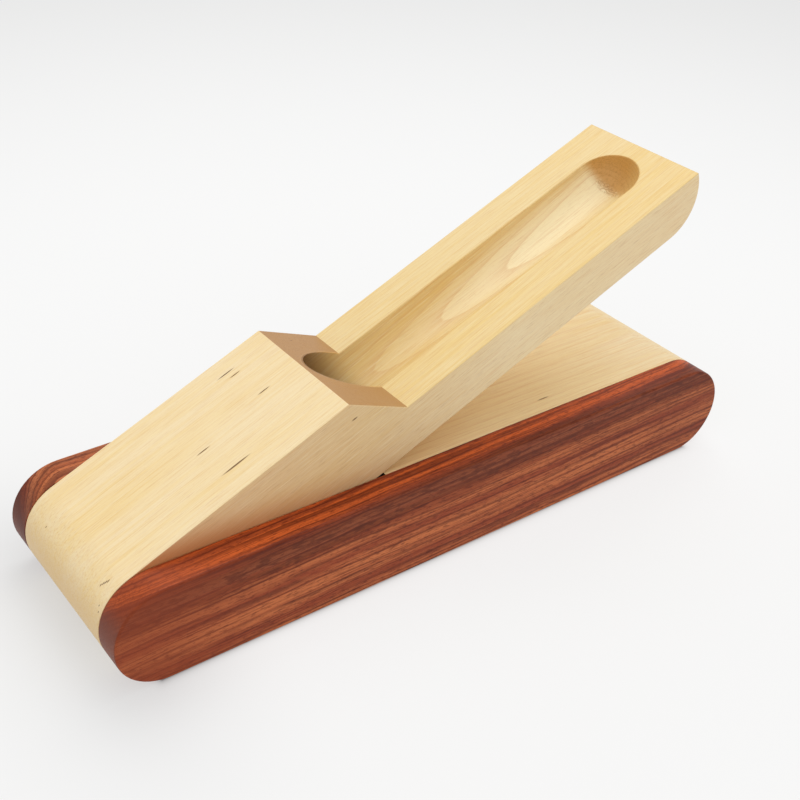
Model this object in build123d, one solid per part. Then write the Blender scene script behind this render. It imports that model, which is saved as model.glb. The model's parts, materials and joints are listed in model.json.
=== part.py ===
from build123d import *
import math
import os

# Fountain pen case, a swinging-tray case in two woods, in millimetres.
#
# Closed, it is a plain block with two full-round ends. Two rosewood rails carry a maple cover block
# that is glued between them. A one-piece maple arm, the swing tray, turns on two hidden stub pins at
# the left end. Its grooved tray closes up under the cover block. To open the case, the tray swings
# down, round the left end and over the top, until its underside meets the cover block's edge.
# It is modelled open, a hair short of that edge, where friction between the rails holds it.
#
# Row frame: +X along the block towards the raised tray tip, +Y towards the left rail, +Z up.
# The origin is on the surface that the case stands on, under the middle of the block.
# The arm is drawn closed, with the pivot at its origin: u runs along it and v runs up from the pivot.

# Driving dimensions
BLOCK_LENGTH = 160.4
BLOCK_HEIGHT = 22.0
RAIL_THICKNESS = 6.9
BAY_WIDTH = 34.6            # between the rails
RIDGE_DISTANCE = 53.5       # pivot to the ridge where the arm's top ends
BORE_RADIUS = 8.0           # pen hollow: bore in the arm's wedge, groove in tray and cover
BORE_RISE = 1.9             # bore axis above the tray's face
TIP_WALL = 4.6              # end grain left between the groove and the tray's tip
PEN_SPACE = 143.4           # clear length of the pen hollow, for a capped pen
OPEN_ANGLE = 23.6           # tilt of the open arm, as modelled

# Clearances
SIDE_GAP = 0.14             # arm to each rail
COVER_GAP = 0.3             # tray face to cover block, closed
MITRE_GAP = 0.4             # arm to cover block along their 45 degree faces, closed
PIN_CLEARANCE = 0.05        # radial, pin to arm

# Hidden pivot pins
PIN_RADIUS = 1.5
PIN_IN_RAIL = 5.0
PIN_IN_ARM = 7.5
PIN_END_GAP = 0.5           # between a pin's end and the bottom of its hole in the arm
PIN_CHAMFER = 0.3

# Eased edges
RAIL_EASE = 0.5             # outer edges, which the hand meets
RAIL_INNER_EASE = 0.2
MAPLE_EASE = 0.25
RIM_EASE = 0.25             # rim of the pen hollow
NEAR = 0.01                 # how closely an edge is told from its neighbours

# Worked out from these
END_RADIUS = BLOCK_HEIGHT / 2
PIVOT_X = END_RADIUS - BLOCK_LENGTH / 2
PIVOT_Z = END_RADIUS
TIP_U = BLOCK_LENGTH - END_RADIUS                  # tray tip, from the pivot
END_CENTRE_U = BLOCK_LENGTH - BLOCK_HEIGHT         # centre of the right end's round
FOOT_U = RIDGE_DISTANCE + END_RADIUS               # foot of the arm's 45 degree face
ARM_HALF_WIDTH = BAY_WIDTH / 2 - SIDE_GAP
RIM_HALF_WIDTH = math.sqrt(BORE_RADIUS**2 - BORE_RISE**2)
GROOVE_END_U = TIP_U - TIP_WALL - RIM_HALF_WIDTH   # centre of the groove's ball end
BORE_END_U = GROOVE_END_U + 2 * BORE_RADIUS - PEN_SPACE

# The cover block's edge stops the open arm. The arm's underside is END_RADIUS below its axis, and
# the edge is END_RADIUS above the pivot, so the arm stops at twice the edge's own angle.
COVER_EDGE_U = RIDGE_DISTANCE + MITRE_GAP * math.sqrt(2)
STOP_ANGLE = 2 * math.degrees(math.atan2(END_RADIUS, COVER_EDGE_U))


def pen_hollow(low_u, high_u):
    """The round hollow for the pen, along u from one ball end to the other, on the closed block."""
    length = high_u - low_u
    barrel = Pos(low_u + length / 2, 0, BORE_RISE) * Rot(0, 90, 0) * Cylinder(BORE_RADIUS, length)
    low_ball = Pos(low_u, 0, BORE_RISE) * Sphere(BORE_RADIUS)
    high_ball = Pos(high_u, 0, BORE_RISE) * Sphere(BORE_RADIUS)
    return barrel + low_ball + high_ball


def slab(outline, width):
    """A closed outline in the XZ plane, made into a solid of this width about the middle."""
    return extrude(make_face(outline), width / 2, both=True)


def stadium():
    """The block's side view: two straight edges between two full rounds, about the pivot."""
    r = END_RADIUS
    return Plane.XZ * (
        Line((0, r), (END_CENTRE_U, r))
        + ThreePointArc((END_CENTRE_U, r), (TIP_U, 0), (END_CENTRE_U, -r))
        + Line((END_CENTRE_U, -r), (0, -r))
        + ThreePointArc((0, -r), (-r, 0), (0, r))
    )


def arm_outline():
    """The arm's side view: round end, wedge, 45 degree face, tray, and the tip's lower quarter-round."""
    r = END_RADIUS
    bend = r * math.sqrt(0.5)
    return Plane.XZ * (
        Line((0, r), (RIDGE_DISTANCE, r))
        + Line((RIDGE_DISTANCE, r), (FOOT_U, 0))
        + Line((FOOT_U, 0), (TIP_U, 0))
        + ThreePointArc((TIP_U, 0), (END_CENTRE_U + bend, -bend), (END_CENTRE_U, -r))
        + Line((END_CENTRE_U, -r), (0, -r))
        + ThreePointArc((0, -r), (-r, 0), (0, r))
    )


def cover_outline():
    """The cover block's side view: undercut 45 degree face, flat top, and upper quarter-round."""
    r = END_RADIUS
    bend = r * math.sqrt(0.5)
    underside_end_u = END_CENTRE_U + math.sqrt(r**2 - COVER_GAP**2)
    return Plane.XZ * (
        Line((COVER_EDGE_U, r), (END_CENTRE_U, r))
        + ThreePointArc(
            (END_CENTRE_U, r), (END_CENTRE_U + bend, bend), (underside_end_u, COVER_GAP)
        )
        + Line((underside_end_u, COVER_GAP), (COVER_EDGE_U + r - COVER_GAP, COVER_GAP))
        + Line((COVER_EDGE_U + r - COVER_GAP, COVER_GAP), (COVER_EDGE_U, r))
    )


def pin_hole(side, depth, radius):
    """The space of a blind hole on the pivot axis, from the bay's wall at this side inwards."""
    middle_y = side * (ARM_HALF_WIDTH - depth / 2)
    return Pos(0, middle_y, 0) * Rot(90, 0, 0) * Cylinder(radius, depth)


def rail(side):
    """One rail, with the blind pin hole in its inner face. side is +1 for the left rail."""
    inner_y = side * BAY_WIDTH / 2
    plate = Pos(0, inner_y + side * RAIL_THICKNESS / 2, 0) * slab(stadium(), RAIL_THICKNESS)
    outward = Axis((0, 0, 0), (0, side, 0))
    plate = fillet(plate.faces().sort_by(outward)[-1].edges(), RAIL_EASE)
    plate = fillet(plate.faces().sort_by(outward)[0].edges(), RAIL_INNER_EASE)
    hole_y = inner_y + side * PIN_IN_RAIL / 2
    return plate - Pos(0, hole_y, 0) * Rot(90, 0, 0) * Cylinder(PIN_RADIUS, PIN_IN_RAIL)


def pivot_pin(side):
    """One steel stub pin: tight in the rail, and free to turn in the arm."""
    length = PIN_IN_RAIL + SIDE_GAP + PIN_IN_ARM
    middle_y = side * (BAY_WIDTH / 2 + PIN_IN_RAIL - length / 2)
    pin = Pos(0, middle_y, 0) * Rot(90, 0, 0) * Cylinder(PIN_RADIUS, length)
    return chamfer(pin.edges().filter_by(GeomType.CIRCLE), PIN_CHAMFER)


def cover_block():
    """The maple block glued between the rails, hollowed underneath for the pen."""
    block = slab(cover_outline(), BAY_WIDTH)
    return block - pen_hollow(RIDGE_DISTANCE - BORE_RADIUS, GROOVE_END_U)


def is_foot(edge):
    """Is this the inside corner across the arm, at the foot of its 45 degree face?"""
    middle = edge.center()
    return abs(middle.X - FOOT_U) < NEAR and abs(middle.Z) < NEAR


def is_rim(edge):
    """Is this edge on the rim of the groove, in the tray's face?"""
    box = edge.bounding_box()
    inside = max(abs(box.min.Y), abs(box.max.Y)) < RIM_HALF_WIDTH + NEAR
    return inside and max(abs(box.min.Z), abs(box.max.Z)) < NEAR and not is_foot(edge)


def swing_tray():
    """The arm, closed: wedge and tray in one piece, with the pen hollow and two pin holes."""
    arm = slab(arm_outline(), 2 * ARM_HALF_WIDTH)
    arm = fillet([edge for edge in arm.edges() if not is_foot(edge)], MAPLE_EASE)
    arm = arm - pen_hollow(BORE_END_U, GROOVE_END_U)
    arm = fillet([edge for edge in arm.edges() if is_rim(edge)], RIM_EASE)
    for side in (-1, 1):
        arm = arm - pin_hole(side, PIN_IN_ARM + PIN_END_GAP, PIN_RADIUS + PIN_CLEARANCE)
    return arm


def place(shape, angle=0.0):
    """From the pivot's frame to the row frame, turned up about the pivot by this angle in degrees."""
    return Pos(PIVOT_X, 0, PIVOT_Z) * Rot(0, -angle, 0) * shape


nodes = {
    "right_rail": place(rail(-1)),
    "left_rail": place(rail(1)),
    "cover_block": place(cover_block()),
    "swing_tray": place(swing_tray(), OPEN_ANGLE),
    "pivot_pin_right": place(pivot_pin(-1)),
    "pivot_pin_left": place(pivot_pin(1)),
}

os.makedirs("parts", exist_ok=True)
for name, shape in nodes.items():
    export_step(shape, f"parts/{name}.step")

print(f"tray swings {360 - OPEN_ANGLE:.2f} degrees to close, {OPEN_ANGLE - STOP_ANGLE:.2f} to its stop")
print(f"bore starts at u {BORE_END_U - BORE_RADIUS:.2f}, groove ends at u {TIP_U - TIP_WALL:.2f}")
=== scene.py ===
import json
import math

import bpy
from mathutils import Matrix, Vector

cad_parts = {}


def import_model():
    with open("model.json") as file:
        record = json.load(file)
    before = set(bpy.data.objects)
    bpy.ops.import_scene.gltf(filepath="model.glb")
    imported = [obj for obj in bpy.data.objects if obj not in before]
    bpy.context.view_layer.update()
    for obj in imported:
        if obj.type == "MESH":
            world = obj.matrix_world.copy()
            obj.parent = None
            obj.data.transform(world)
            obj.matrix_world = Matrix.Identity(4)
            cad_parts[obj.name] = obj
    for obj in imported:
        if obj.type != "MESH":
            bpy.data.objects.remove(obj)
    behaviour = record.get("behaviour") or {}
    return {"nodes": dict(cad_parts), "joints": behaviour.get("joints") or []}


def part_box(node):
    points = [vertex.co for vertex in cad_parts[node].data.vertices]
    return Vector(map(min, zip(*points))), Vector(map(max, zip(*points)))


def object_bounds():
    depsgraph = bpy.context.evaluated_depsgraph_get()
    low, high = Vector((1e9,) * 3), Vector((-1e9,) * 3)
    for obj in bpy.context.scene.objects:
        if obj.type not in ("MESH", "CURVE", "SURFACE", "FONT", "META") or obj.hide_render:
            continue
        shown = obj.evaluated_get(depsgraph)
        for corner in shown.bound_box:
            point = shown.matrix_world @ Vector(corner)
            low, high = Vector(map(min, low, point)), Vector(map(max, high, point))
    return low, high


# Fountain pen case: a maple swing tray between rosewood rails, in metres, in the CAD's row frame.
# The woods are solid textures. Each is worked out in its own board's millimetres, with the grain
# along the board, so that it runs through every face as it does in real wood.

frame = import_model()
cad_low, cad_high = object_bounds()

MM = 0.001
SWING = frame["joints"][0]
PIVOT = Vector(SWING["pos_m"])
OPEN_ANGLE = math.radians(360 - SWING["range_deg"][1])   # tilt of the arm at rest
END_RADIUS = PIVOT.z / MM                                # of the block's round ends
RAIL_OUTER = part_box("left_rail")[1].y / MM               # middle plane to a rail's outer face

# The arm's pen hollow, in millimetres from the pivot, with the arm level
BORE_RADIUS = 8.0
BORE_RISE = 1.9             # the hollow's axis above the tray's face
GROOVE_END = 137.03         # centre of the hollow's ball end, along the arm


# Shader building

class Graph:
    """A material's node tree, with one short call for each kind of node."""

    def __init__(self, name):
        self.material = bpy.data.materials.new(name)
        self.material.use_nodes = True
        self.nodes = self.material.node_tree.nodes
        self.links = self.material.node_tree.links
        self.shader = self.nodes["Principled BSDF"]

    def put(self, socket, value):
        if isinstance(value, bpy.types.NodeSocket):
            self.links.new(value, socket)
        else:
            socket.default_value = value

    def value(self, operation, *inputs, clamp=False):
        node = self.nodes.new("ShaderNodeMath")
        node.operation = operation
        node.use_clamp = clamp
        for socket, value in zip(node.inputs, inputs):
            self.put(socket, value)
        return node.outputs[0]

    def times(self, first, second):
        return self.value("MULTIPLY", first, second)

    def times_plus(self, value, factor, addend):
        return self.value("MULTIPLY_ADD", value, factor, addend)

    def minus(self, first, second):
        return self.value("SUBTRACT", first, second)

    def apart(self, first, second):
        """How far apart two values are."""
        return self.value("ABSOLUTE", self.minus(first, second))

    def vector(self, operation, *inputs):
        node = self.nodes.new("ShaderNodeVectorMath")
        node.operation = operation
        sockets = list(node.inputs[:len(inputs)])
        if operation == "SCALE":
            sockets = [node.inputs["Vector"], node.inputs["Scale"]]
        for socket, value in zip(sockets, inputs):
            self.put(socket, value)
        return node.outputs["Value" if operation == "LENGTH" else "Vector"]

    def split(self, vector):
        node = self.nodes.new("ShaderNodeSeparateXYZ")
        self.put(node.inputs[0], vector)
        return node.outputs

    def join(self, x, y, z):
        node = self.nodes.new("ShaderNodeCombineXYZ")
        for socket, value in zip(node.inputs, (x, y, z)):
            self.put(socket, value)
        return node.outputs[0]

    def noise(self, vector, scale=1.0, detail=2.0, roughness=0.5, distortion=0.0):
        node = self.nodes.new("ShaderNodeTexNoise")
        self.put(node.inputs["Vector"], vector)
        self.put(node.inputs["Scale"], scale)
        self.put(node.inputs["Detail"], detail)
        self.put(node.inputs["Roughness"], roughness)
        self.put(node.inputs["Distortion"], distortion)
        return node.outputs[0]

    def grain(self, place, per_mm, **settings):
        """Noise over a board, with its own scale along, across and up, per millimetre."""
        return self.noise(self.vector("MULTIPLY", place, per_mm), **settings)

    def ramp(self, factor, stops):
        node = self.nodes.new("ShaderNodeValToRGB")
        elements = node.color_ramp.elements
        while len(elements) < len(stops):
            elements.new(0.5)
        for element, (position, colour) in zip(elements, stops):
            element.position = position
            element.color = (*colour, 1)
        self.put(node.inputs[0], factor)
        return node.outputs[0]

    def step(self, value, low, high):
        """0 below low, 1 above high, smooth between. low may be above high."""
        node = self.nodes.new("ShaderNodeMapRange")
        node.interpolation_type = "SMOOTHSTEP"
        for name, given in (("Value", value), ("From Min", low), ("From Max", high)):
            self.put(node.inputs[name], given)
        return node.outputs[0]

    def mix(self, factor, first, second, blend="MIX"):
        node = self.nodes.new("ShaderNodeMix")
        node.data_type = "RGBA"
        node.blend_type = blend
        self.put(node.inputs["Factor"], factor)
        for name, colour in (("A", first), ("B", second)):
            socket = next(s for s in node.inputs if s.name == name and s.type == "RGBA")
            self.put(socket, (*colour, 1) if isinstance(colour, tuple) else colour)
        return next(s for s in node.outputs if s.type == "RGBA")

    def lay(self, colour, over, mask, strength, blend="MIX"):
        """The colour with another laid over it where the mask is 1, at this strength."""
        return self.mix(self.times(mask, strength), colour, over, blend)

    def bump(self, height, distance_mm, strength):
        node = self.nodes.new("ShaderNodeBump")
        self.put(node.inputs["Height"], height)
        self.put(node.inputs["Strength"], strength)
        self.put(node.inputs["Distance"], distance_mm * MM)
        return node.outputs[0]

    def board(self, origin, tilt=0.0):
        """The board's own coordinates in millimetres, and the surface's normal in them."""
        source = self.nodes.new("ShaderNodeTexCoord")
        place = self.nodes.new("ShaderNodeMapping")
        place.vector_type = "TEXTURE"
        place.inputs["Location"].default_value = origin
        place.inputs["Rotation"].default_value = (0, -tilt, 0)
        self.put(place.inputs["Vector"], source.outputs["Object"])
        turn = self.nodes.new("ShaderNodeMapping")
        turn.vector_type = "TEXTURE"
        turn.inputs["Rotation"].default_value = (0, -tilt, 0)
        self.put(turn.inputs["Vector"], source.outputs["Normal"])
        return self.vector("SCALE", place.outputs[0], 1 / MM), turn.outputs[0]


def linear(red, green, blue):
    """A display colour, 0 to 255, as the renderer's linear colour."""
    def one(c):
        c /= 255
        return c / 12.92 if c < 0.04045 else ((c + 0.055) / 1.055) ** 2.4
    return (one(red), one(green), one(blue))


# Maple

MAPLE_PALE = linear(246, 224, 180)
MAPLE_WARM = linear(244, 214, 150)
MAPLE_LINE = linear(216, 162, 98)
MAPLE_CORE = linear(252, 237, 194)
MAPLE_END = linear(176, 127, 66)            # end grain of the round ends
# The cut faces' end grain, darker still with a painted shadow of the pen over the 45 degree face
MAPLE_CUT_AND_PEN_SHADOW = linear(166, 114, 54)            # end grain of the 45 degree face and the tip
# End grain of the groove's end, with painted shade in it
MAPLE_GROOVE_END_AND_SHADE = linear(208, 150, 68)
# Dark grain lines on the cut faces, and painted shade deep in the bore
MAPLE_GRAIN_AND_BORE_SHADE = linear(116, 76, 40)
MAPLE_TORN = linear(166, 112, 50)
MAPLE_FLECK = linear(104, 62, 20)
MAPLE_DASH = linear(188, 144, 102)
TRAY_TINT = (0.92, 0.88, 0.68)
# Painted golden shade inside the hollow
HOLLOW_SHADE_TINT = (0.90, 0.80, 0.58)
COVER_TINT = (0.86, 0.88, 0.92)
# Painted fill light on the deck where the arm shades it
COVER_FILL_LIGHT = linear(251, 228, 174)
# Painted warm bounce light from the arm on the deck
COVER_BOUNCE_LIGHT = linear(246, 192, 122)
LOW_SIDE_RED = linear(202, 124, 66)

# Painted shade on the arm's sides, darker and redder towards the pivot, as shares of the way from
# the pivot to just past the tip
SIDE_SHADE_REACH = 150.0
SIDE_SHADE_BANDS = [
    (0.00, linear(214, 160, 112)), (0.22, linear(214, 172, 120)), (0.40, linear(212, 178, 128)),
    (0.62, linear(236, 214, 172)), (1.00, linear(236, 212, 172)),
]

# Grain torn up by the cutter, where the groove's floor turns up into its end
TORN_CENTRE = (138.5, 2.0, -5.0)
TORN_REACH = (1.5, 4.6, 2.4)
TORN_RELIEF = -4.0

# Small brown mineral flecks: centre (along, across, up) and length, in the board's millimetres
ARM_FLECKS = [
    ((41.7, 12.3, 11.0), 5.4),
    ((42.9, 10.4, 11.0), 3.4),
    ((44.4, 1.1, 11.0), 3.8),
    ((27.0, -2.1, 11.0), 4.0),
    ((29.6, -10.9, 11.0), 8.4),
    ((-5.5, 10.0, 9.5), 0.9),
    ((-2.6, -13.95, 10.68), 1.3),
    ((-3.1, -13.65, 10.55), 1.6),
    ((-3.6, -13.35, 10.40), 1.5),
    ((-4.1, -13.05, 10.20), 1.1),
    ((-7.4, -16.1, 8.1), 0.8),
    ((-6.6, -15.6, 8.8), 0.7),
    ((53.3, -17.1, 6.9), 2.0),
    ((57.8, 13.0, 6.7), 2.0),
]
COVER_FLECKS = [((101.3, -13.1, 11.0), 4.0)]


def flecks(g, place, spots):
    """A mask of thin dark slivers along the grain."""
    total = 0.0
    for centre, length in spots:
        near = g.vector("SUBTRACT", place, centre)
        half_width = 0.14 + 0.016 * length
        size = (length / 2, half_width, 1.5 * half_width)
        reach = g.vector("LENGTH", g.vector("DIVIDE", near, size))
        total = g.value("MAXIMUM", total, g.step(reach, 1.0, 0.45))
    return total


class Maple(Graph):
    """Maple with the grain along the board. pith is the tree's centre, across and up from the
    board's origin. lean is how far the rings drift from the grain for each millimetre along the
    board. spacing is from ring to ring, and sway is how far they stray from true circles."""

    def __init__(self, name, origin, tilt, pith, lean, spacing, sway, seed):
        super().__init__(name)
        g = self
        g.place, g.normal = g.board(origin, tilt)
        g.shifted = g.vector("ADD", g.place, (seed * 37.0, seed * 11.0, seed * 5.0))
        g.along, g.across, g.up = g.split(g.place)

        stray = g.grain(g.shifted, (0.016, 0.07, 0.07))
        height = g.times_plus(g.along, -lean, g.minus(g.up, pith[1]))
        radius = g.vector("LENGTH", g.join(g.minus(g.across, pith[0]), height, 0.0))
        g.radius = g.times_plus(g.minus(stray, 0.5), sway, radius)
        wander = g.noise(g.join(g.radius, seed, 0.0), scale=0.35, detail=1.0)
        ring = g.times_plus(g.minus(wander, 0.5), sway, g.value("DIVIDE", g.radius, spacing))
        phase = g.value("FRACT", ring)
        g.late = g.times(g.value("POWER", phase, 6.0), g.step(phase, 1.0, 0.95))
        g.season = g.times(g.value("POWER", phase, 1.6), g.step(phase, 1.0, 0.96))

        g.fibre = g.grain(g.shifted, (0.11, 4.2, 4.2), roughness=0.6)
        g.silk = g.grain(g.shifted, (0.035, 1.15, 1.15), detail=3.0, roughness=0.6)
        g.cloud = g.grain(g.shifted, (0.018, 0.09, 0.09))
        g.grit = g.grain(g.shifted, (1.3, 4.5, 4.5), roughness=0.6)
        g.dash = g.grain(g.shifted, (0.28, 5.0, 5.0), roughness=0.6)

        lengthways, sideways, _ = g.split(g.normal)
        g.lengthways = g.value("ABSOLUTE", lengthways)
        g.end_grain = g.step(g.lengthways, 0.40, 0.95)
        g.side = g.step(g.value("ABSOLUTE", sideways), 0.75, 0.97)

    def tone(self):
        """The broad colour of the board, with nothing fine in it."""
        g = self
        warm = g.value("ADD", g.step(g.cloud, 0.32, 0.68), g.step(g.silk, 0.36, 0.70))
        return g.lay(MAPLE_PALE, MAPLE_WARM, warm, 0.5)

    def figure(self, colour, rings):
        """The growth rings, fibres and pores, laid over the board's broad colour."""
        g = self
        colour = g.lay(colour, MAPLE_LINE, g.season, g.times(rings, 0.45))
        colour = g.lay(colour, MAPLE_LINE, g.late, rings)
        colour = g.lay(colour, MAPLE_LINE, g.step(g.fibre, 0.50, 0.74), 0.32)
        colour = g.lay(colour, MAPLE_CORE, g.step(g.fibre, 0.50, 0.26), 0.30)
        colour = g.lay(colour, MAPLE_LINE, g.step(g.grit, 0.52, 0.74), 0.12)
        dash_strength = g.times_plus(g.side, 0.22, 0.12)
        return g.lay(colour, MAPLE_DASH, g.step(g.dash, 0.54, 0.70), dash_strength)

    def finish(self, colour, spots, rough=0.0):
        """Sets the shader. rough is extra relief, in the same measure as the fibres'."""
        g = self
        colour = g.lay(colour, MAPLE_FLECK, flecks(g, g.place, spots), 0.92)
        g.put(g.shader.inputs["Base Color"], colour)
        g.put(g.shader.inputs["Roughness"], g.times_plus(g.fibre, 0.16, 0.38))
        g.shader.inputs["Specular IOR Level"].default_value = 0.35
        relief = g.value("ADD", g.times_plus(g.grit, 0.5, g.fibre), rough)
        g.put(g.shader.inputs["Normal"], g.bump(relief, distance_mm=0.02, strength=0.5))
        return g.material


def arm_tone(g, hollow, tray):
    """The arm's broad colour: golden tray, painted golden shade in the hollow, a pale core down the
    hollow's floor, and painted shade on the sides.
    """
    past = g.value("MAXIMUM", g.minus(g.along, 108.0), 0.0)
    core_side = g.step(g.times_plus(past, -0.11, g.across), -5.5, 0.5)
    core = g.times(hollow, g.step(g.radius, 19.2, 21.6))
    core = g.times(core, g.times_plus(core_side, 0.72, 0.28))
    colour = g.lay(g.tone(), TRAY_TINT, tray, 0.66, "MULTIPLY")
    # Painted golden shade in the hollow
    colour = g.lay(colour, HOLLOW_SHADE_TINT, hollow, 0.55, "MULTIPLY")
    colour = g.lay(colour, MAPLE_CORE, core, 0.88)
    # Painted shade on the arm's sides
    side_shade = g.ramp(g.value("DIVIDE", g.along, SIDE_SHADE_REACH), SIDE_SHADE_BANDS)
    return g.lay(colour, side_shade, g.side, 0.66)


def cut_faces(g, colour, hollow, solid, from_bore):
    """Darker end grain of the 45 degree face and the tip, the groove's end and the nose. The 45
    degree face and the tip are darker still with a painted shadow of the pen, the groove's end has
    painted shade with its end grain, and the bore has painted shade deep inside.
    """
    cut = g.times(g.step(g.lengthways, 0.28, 0.74), g.step(g.along, 6.0, 14.0))
    flat_cut = g.times(cut, solid)
    groove_end = g.times(hollow, g.step(g.lengthways, 0.0, 0.38))
    golden = g.times_plus(g.step(g.across, 1.0, -5.5), -0.48, 0.86)
    # End grain with a painted shadow of the pen over it
    colour = g.lay(colour, MAPLE_CUT_AND_PEN_SHADOW, flat_cut, 0.88)
    # End grain and painted shade at the groove's end
    colour = g.lay(colour, MAPLE_GROOVE_END_AND_SHADE, groove_end, golden)
    cut_grain = g.times(g.step(g.fibre, 0.46, 0.70), g.value("MAXIMUM", flat_cut, groove_end))
    colour = g.lay(colour, MAPLE_GRAIN_AND_BORE_SHADE, cut_grain, g.times(golden, 0.24))
    colour = g.lay(colour, MAPLE_GRAIN_AND_BORE_SHADE, g.times(g.late, groove_end), 0.13)

    # The cutter scorched the bore's mouth
    mouth = g.step(g.apart(from_bore, BORE_RADIUS + 0.1), 0.38, 0.05)
    scorch = g.times(mouth, g.times(g.step(g.up, 1.0, 4.0), flat_cut))
    colour = g.lay(colour, MAPLE_FLECK, scorch, 0.55)
    # Painted shade deep in the bore
    bore = g.times(hollow, g.step(g.along, 66.0, 56.0))
    colour = g.lay(colour, MAPLE_GRAIN_AND_BORE_SHADE, bore, 0.75)
    nose = g.value("SUBTRACT", g.end_grain, cut, clamp=True)
    return g.lay(colour, MAPLE_END, nose, 0.34)


def torn_grain(g, colour):
    """The torn patch's darker lines with painted pale highlights along its curls, and the mask of
    those lines.
    """
    from_centre = g.vector("SUBTRACT", g.place, TORN_CENTRE)
    reach = g.vector("LENGTH", g.vector("DIVIDE", from_centre, TORN_REACH))
    torn = g.step(reach, 1.0, 0.55)
    curl = g.grain(g.shifted, (0.7, 0.35, 0.7), roughness=0.6, distortion=1.4)
    line = g.times(torn, g.step(g.apart(curl, 0.5), 0.07, 0.0))
    # Painted highlights along the curls
    edge = g.times(torn, g.step(g.apart(curl, 0.62), 0.06, 0.0))
    colour = g.lay(colour, MAPLE_CORE, edge, 0.8)
    return g.lay(colour, MAPLE_TORN, line, 0.5), line


def redden_low_sides(g, colour):
    """Reddish brown laid on the arm's sides, low down just above the rails and towards the pivot.
    """
    rise = g.times_plus(g.along, math.sin(OPEN_ANGLE), g.times(g.up, math.cos(OPEN_ANGLE)))
    above_rails = g.minus(rise, END_RADIUS)
    low_near_rails = g.times(g.step(above_rails, 7.0, -0.5), g.step(g.along, 62.0, 8.0))
    return g.lay(colour, LOW_SIDE_RED, g.times(low_near_rails, g.side), 0.75)


def arm_maple():
    """The swing tray's board, with rings that open in long U shapes down the groove."""
    g = Maple("maple_arm", PIVOT, OPEN_ANGLE, pith=(-3.65, 10.35), lean=0.04, spacing=0.76,
              sway=0.4, seed=1.0)
    past_end = g.value("MAXIMUM", g.minus(g.along, GROOVE_END), 0.0)
    from_bore = g.vector("LENGTH", g.join(g.across, g.minus(g.up, BORE_RISE), past_end))
    hollow = g.step(from_bore, BORE_RADIUS + 0.5, BORE_RADIUS + 0.15)
    hollow = g.times(hollow, g.step(g.along, 0.0, 1.0))
    solid = g.minus(1.0, hollow)
    g.side = g.times(g.side, solid)
    tray = g.times(g.step(g.up, 4.0, 0.0), g.minus(1.0, g.side))

    solid_rings = g.times(g.times_plus(tray, 0.11, 0.06), solid)
    hollow_rings = g.times(hollow, g.step(g.radius, 21.7, 21.3))
    rings = g.value("ADD", solid_rings, g.times(hollow_rings, 0.36))

    colour = g.figure(arm_tone(g, hollow, tray), rings)
    colour = cut_faces(g, colour, hollow, solid, from_bore)
    colour, torn_line = torn_grain(g, colour)
    colour = redden_low_sides(g, colour)
    return g.finish(colour, ARM_FLECKS, g.times(torn_line, TORN_RELIEF))


def cover_maple():
    """The cover block's board: pale, with fine long ring lines, and painted fill light and painted
    warm bounce light towards the arm.
    """
    g = Maple("maple_cover", PIVOT, 0.0, pith=(60.0, -40.0), lean=0.02, spacing=1.8,
              sway=1.6, seed=2.0)
    colour = g.mix(1.0, g.tone(), COVER_TINT, "MULTIPLY")
    # Painted fill light where the arm shades the deck
    colour = g.lay(colour, COVER_FILL_LIGHT, g.step(g.along, 142.0, 108.0), 0.8)
    # Painted warm bounce light from the arm
    colour = g.lay(colour, COVER_BOUNCE_LIGHT, g.step(g.along, 88.0, 58.0), 0.30)
    colour = g.figure(colour, 0.22)
    colour = g.lay(colour, MAPLE_END, g.end_grain, 0.40)
    return g.finish(colour, COVER_FLECKS)


# Rosewood

ROSE_LINE = linear(84, 27, 12)
ROSE_BLOT = linear(82, 32, 16)
ROSE_BROWN = linear(122, 56, 26)
ROSE_GREY = linear(144, 77, 47)
ROSE_TAN = linear(196, 110, 64)
ROSE_PALE = linear(192, 114, 72)
ROSE_RED = linear(146, 64, 35)
ROSE_ORANGE = linear(208, 96, 41)
ROSE_END = linear(112, 64, 50)
ROSE_LEFT_END = linear(96, 48, 34)

# Broad colour bands through each rail's thickness: place from the lower outer edge, over the outer
# side and across the top, as a share of the way round
RIGHT_BANDS = [
    (0.00, ROSE_TAN), (0.10, ROSE_RED), (0.18, ROSE_TAN), (0.30, ROSE_TAN), (0.38, ROSE_RED),
    (0.46, ROSE_TAN), (0.56, ROSE_BROWN), (0.64, ROSE_GREY), (0.74, ROSE_BROWN), (0.79, ROSE_RED),
    (0.83, ROSE_ORANGE), (0.92, ROSE_ORANGE), (0.96, ROSE_RED), (1.00, ROSE_ORANGE),
]
LEFT_BANDS = [
    (0.00, ROSE_BROWN), (0.20, ROSE_TAN), (0.34, ROSE_RED), (0.50, ROSE_BROWN), (0.66, ROSE_LINE),
    (0.74, ROSE_RED), (0.80, ROSE_PALE), (0.90, ROSE_TAN), (1.00, ROSE_PALE),
]


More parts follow.
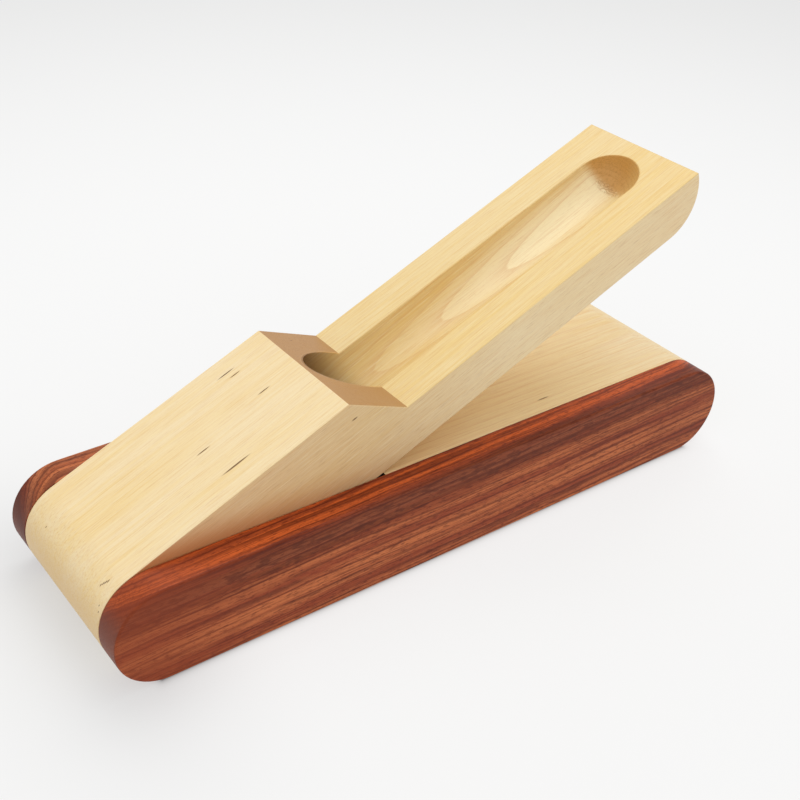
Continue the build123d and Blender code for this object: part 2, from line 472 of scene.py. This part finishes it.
class Rosewood(Graph):
    """Rosewood's sheets of growth, which lie aslant through a rail and run nearly along it.
    outward is -1 or +1: the side that the board's outer face is on."""

    def __init__(self, name, outward, seed):
        super().__init__(name)
        g = self
        g.seed = seed
        place, g.normal = g.board(PIVOT)
        g.shifted = g.vector("ADD", place, (seed * 53.0, seed * 17.0, seed * 29.0))
        sway = g.grain(g.shifted, (0.014, 0.06, 0.06))
        wobble = g.grain(g.shifted, (0.07, 0.5, 0.5), detail=1.0)
        g.along, across, up = g.split(place)
        depth = g.times_plus(across, -outward, RAIL_OUTER)
        sheet = g.times_plus(depth, 0.9, up)
        sheet = g.times_plus(g.along, -0.02, sheet)
        sheet = g.times_plus(sway, 2.4, sheet)
        g.sheet = g.times_plus(wobble, 0.9, sheet)
        g.slow = g.times(g.along, 0.010)
        sheets_below = END_RADIUS - 1.0
        sheets_in_all = 2 * END_RADIUS + 6.5
        g.round_way = g.value("DIVIDE", g.value("ADD", g.sheet, sheets_below), sheets_in_all)

    def lines(self, spacing, width, offset, least):
        """Thin lines of one width in millimetres, unevenly spaced. Each comes and goes along the
        board. offset keeps one set apart from another, and least is what a line needs to show."""
        g = self
        count = g.value("DIVIDE", g.sheet, spacing)
        wander = g.noise(g.join(count, g.slow, g.seed + offset), scale=0.7, detail=1.0)
        count = g.times_plus(wander, 2.6, count)
        middle = g.apart(g.value("FRACT", count), 0.5)
        line = g.step(middle, width / spacing, 0.25 * width / spacing)
        each = g.times(g.value("FLOOR", count), 3.7)
        weight = g.noise(g.join(each, g.times(g.along, 0.045), offset), detail=1.0)
        return g.times(line, g.step(weight, least, least + 0.16))


def rosewood(name, outward, bands, end, seed):
    """Rosewood with colour bands and dark lines along the board, fine open pores, and purple-grey
    end grain. end is the end grain's colour, how far round the end it starts, and how much the
    bands dull towards the pivot's end."""
    g = Rosewood(name, outward, seed)
    end_colour, end_from, dull = end
    fibre = g.grain(g.shifted, (0.30, 3.6, 3.6), detail=3.0, roughness=0.7)
    smudge = g.grain(g.shifted, (0.16, 0.75, 0.75), detail=5.0, roughness=0.75)
    speck = g.grain(g.shifted, (0.5, 2.4, 2.4), roughness=0.6)
    blot = g.grain(g.shifted, (0.22, 1.05, 1.05), roughness=0.6)
    pores = g.step(g.grain(g.shifted, (0.7, 4.6, 4.6), detail=1.0), 0.60, 0.70)
    stripe = g.noise(g.join(g.times(g.sheet, 0.75), g.slow, seed + 4.0), roughness=0.6)
    brown_zone = g.step(g.apart(g.round_way, 0.62), 0.17, 0.04)
    blot_zone = g.step(g.apart(g.round_way, 0.63), 0.15, 0.06)

    colour = g.ramp(g.times_plus(g.minus(smudge, 0.5), 0.16, g.round_way), bands)
    colour = g.lay(colour, ROSE_RED, g.step(stripe, 0.46, 0.62), 0.50)
    colour = g.lay(colour, ROSE_BROWN, g.step(fibre, 0.50, 0.76), 0.45)
    fine = g.lines(spacing=0.80, width=0.18, offset=21.0, least=0.40)
    heavy = g.lines(spacing=1.7, width=0.40, offset=9.0, least=0.30)
    colour = g.lay(colour, ROSE_LINE, fine, 0.48)
    colour = g.lay(colour, ROSE_LINE, heavy, 0.60)
    colour = g.lay(colour, ROSE_LINE, g.step(speck, 0.54, 0.66), 0.50)
    smudge_strength = g.times_plus(brown_zone, 0.30, 0.10)
    colour = g.lay(colour, ROSE_LINE, g.step(smudge, 0.51, 0.66), smudge_strength)
    colour = g.lay(colour, ROSE_BLOT, g.times(g.step(blot, 0.53, 0.64), blot_zone), 0.60)
    colour = g.lay(colour, ROSE_LINE, pores, 0.50)
    colour = g.lay(colour, ROSE_RED, g.step(g.along, 26.0, -8.0), dull)
    # Painted shade, darker towards the rails' far end
    colour = g.lay(colour, ROSE_LINE, g.step(g.along, 96.0, 146.0), 0.16)
    end_grain = g.step(g.value("ABSOLUTE", g.split(g.normal)[0]), end_from, 1.0)
    colour = g.lay(colour, end_colour, end_grain, 0.72)

    g.put(g.shader.inputs["Base Color"], colour)
    g.put(g.shader.inputs["Roughness"], g.times_plus(fibre, 0.2, 0.36))
    g.shader.inputs["Specular IOR Level"].default_value = 0.12
    g.shader.inputs["Coat Weight"].default_value = 0.04
    g.shader.inputs["Coat Roughness"].default_value = 0.22
    relief = g.minus(fibre, g.times(pores, 0.6))
    g.put(g.shader.inputs["Normal"], g.bump(relief, distance_mm=0.03, strength=0.6))
    return g.material


def steel():
    """Ground steel of the hidden pivot pins, with fine turning lines round the pin."""
    g = Graph("pin_steel")
    place, _ = g.board(PIVOT)
    lines = g.grain(place, (0.2, 9.0, 0.2))
    g.put(g.shader.inputs["Base Color"], g.mix(lines, (0.50, 0.50, 0.52), (0.68, 0.68, 0.70)))
    g.shader.inputs["Metallic"].default_value = 1.0
    g.put(g.shader.inputs["Roughness"], g.times_plus(lines, 0.2, 0.22))
    return g.material


def paint(node, material):
    """Gives a CAD node this material in every slot."""
    slots = frame["nodes"][node].data.materials
    if not slots:
        slots.append(material)
    for index in range(len(slots)):
        slots[index] = material


paint("swing_tray", arm_maple())
paint("cover_block", cover_maple())
paint("right_rail", rosewood("rosewood_right", -1, RIGHT_BANDS, (ROSE_END, 0.70, 0.55), 1.0))
paint("left_rail", rosewood("rosewood_left", 1, LEFT_BANDS, (ROSE_LEFT_END, 0.40, 0.0), 2.0))
for pin in ("pivot_pin_right", "pivot_pin_left"):
    paint(pin, steel())


# Floor, light and camera

FLOOR_SIZE = 6.0
FLOOR_GLOW = 0.66
WORLD_STRENGTH = 0.80
WINDOW_PLACE = Vector((0.42, 0.32, 1.10))
WINDOW_AIM = Vector((0, 0, 0.02))
WINDOW_SIZE = 0.9
WINDOW_POWER = 5.6
CAMERA_PLACE = (-0.1436, -0.1880, 0.1785)
CAMERA_YAW = math.radians(37.58)
CAMERA_PITCH = math.radians(32.86)
CAMERA_ROLL = math.radians(2.7)
CAMERA_LENS = 57.45


def floor():
    """A plain pale sheet that glows. Painted shadow darkens it where the block touches it and a
    little round the block's left end, painted falloff dims it a little far away, and painted bounce
    light brightens it a little beside the right rail."""
    bpy.ops.mesh.primitive_plane_add(size=FLOOR_SIZE, location=(0, 0, 0))
    plane = bpy.context.object
    plane.name = "floor"
    g = Graph("floor_paper")
    place, _ = g.board((0, 0, 0))
    x, y, _ = g.split(place)
    touch_x = cad_high.x / MM - 9.0     # about where the round ends leave the floor
    touch_y = RAIL_OUTER - 0.4          # and the rails' eased edges
    beyond_x = g.value("MAXIMUM", g.minus(g.value("ABSOLUTE", x), touch_x), 0.0)
    beyond_y = g.value("MAXIMUM", g.minus(g.value("ABSOLUTE", y), touch_y), 0.0)
    away = g.vector("LENGTH", g.join(beyond_x, beyond_y, 0.0))

    def fade(reach):
        """1 at the block, and less with distance from it, over this many millimetres."""
        return g.value("EXPONENT", g.value("DIVIDE", away, -reach))

    # Painted shadow round the block's left end
    lee = g.times(fade(16.0), g.step(x, -45.0, -85.0))
    # Painted bounce light beside the right rail
    bounce = g.times(fade(9.0), g.step(y, 0.0, -RAIL_OUTER))
    # Painted dimming far from the block
    far = g.step(g.vector("LENGTH", place), 120.0, 560.0)
    # Painted contact shadow where the block touches the floor
    glow = g.minus(g.times_plus(bounce, 0.14, 1.0), fade(0.7))
    glow = g.times(glow, g.times_plus(lee, -0.34, 1.0))
    glow = g.times(glow, g.times_plus(far, -0.26, 1.0))
    g.shader.inputs["Base Color"].default_value = (0.26, 0.26, 0.26, 1)
    g.shader.inputs["Roughness"].default_value = 0.9
    g.shader.inputs["Specular IOR Level"].default_value = 0.0
    g.shader.inputs["Emission Color"].default_value = (1.0, 1.0, 0.995, 1)
    g.put(g.shader.inputs["Emission Strength"], g.times(glow, FLOOR_GLOW))
    plane.data.materials.append(g.material)


def window_light():
    """One large soft light, high up behind the case's right."""
    lamp = bpy.data.lights.new("window", "AREA")
    lamp.shape = "SQUARE"
    lamp.size = WINDOW_SIZE
    lamp.energy = WINDOW_POWER
    holder = bpy.data.objects.new("window", lamp)
    bpy.context.scene.collection.objects.link(holder)
    holder.location = WINDOW_PLACE
    holder.rotation_euler = (WINDOW_AIM - WINDOW_PLACE).to_track_quat("-Z", "Y").to_euler()


def world():
    surroundings = bpy.data.worlds.new("studio")
    surroundings.use_nodes = True
    background = surroundings.node_tree.nodes["Background"]
    background.inputs["Color"].default_value = (1, 1, 1, 1)
    background.inputs["Strength"].default_value = WORLD_STRENGTH
    bpy.context.scene.world = surroundings


def camera():
    ahead = Vector((math.sin(CAMERA_YAW), math.cos(CAMERA_YAW), 0))
    forward = ahead * math.cos(CAMERA_PITCH) - Vector((0, 0, math.sin(CAMERA_PITCH)))
    level = Vector((math.cos(CAMERA_YAW), -math.sin(CAMERA_YAW), 0))
    upright = level.cross(forward)
    right = math.cos(CAMERA_ROLL) * level + math.sin(CAMERA_ROLL) * upright
    up = -math.sin(CAMERA_ROLL) * level + math.cos(CAMERA_ROLL) * upright
    data = bpy.data.cameras.new("camera")
    data.sensor_width = 36.0
    data.lens = CAMERA_LENS
    data.clip_start = 0.01
    holder = bpy.data.objects.new("camera", data)
    bpy.context.scene.collection.objects.link(holder)
    turn = Matrix((right, up, -forward)).transposed()
    holder.matrix_world = Matrix.Translation(CAMERA_PLACE) @ turn.to_4x4()
    bpy.context.scene.camera = holder


floor()
world()
window_light()
camera()
bpy.context.scene.view_settings.view_transform = "Standard"
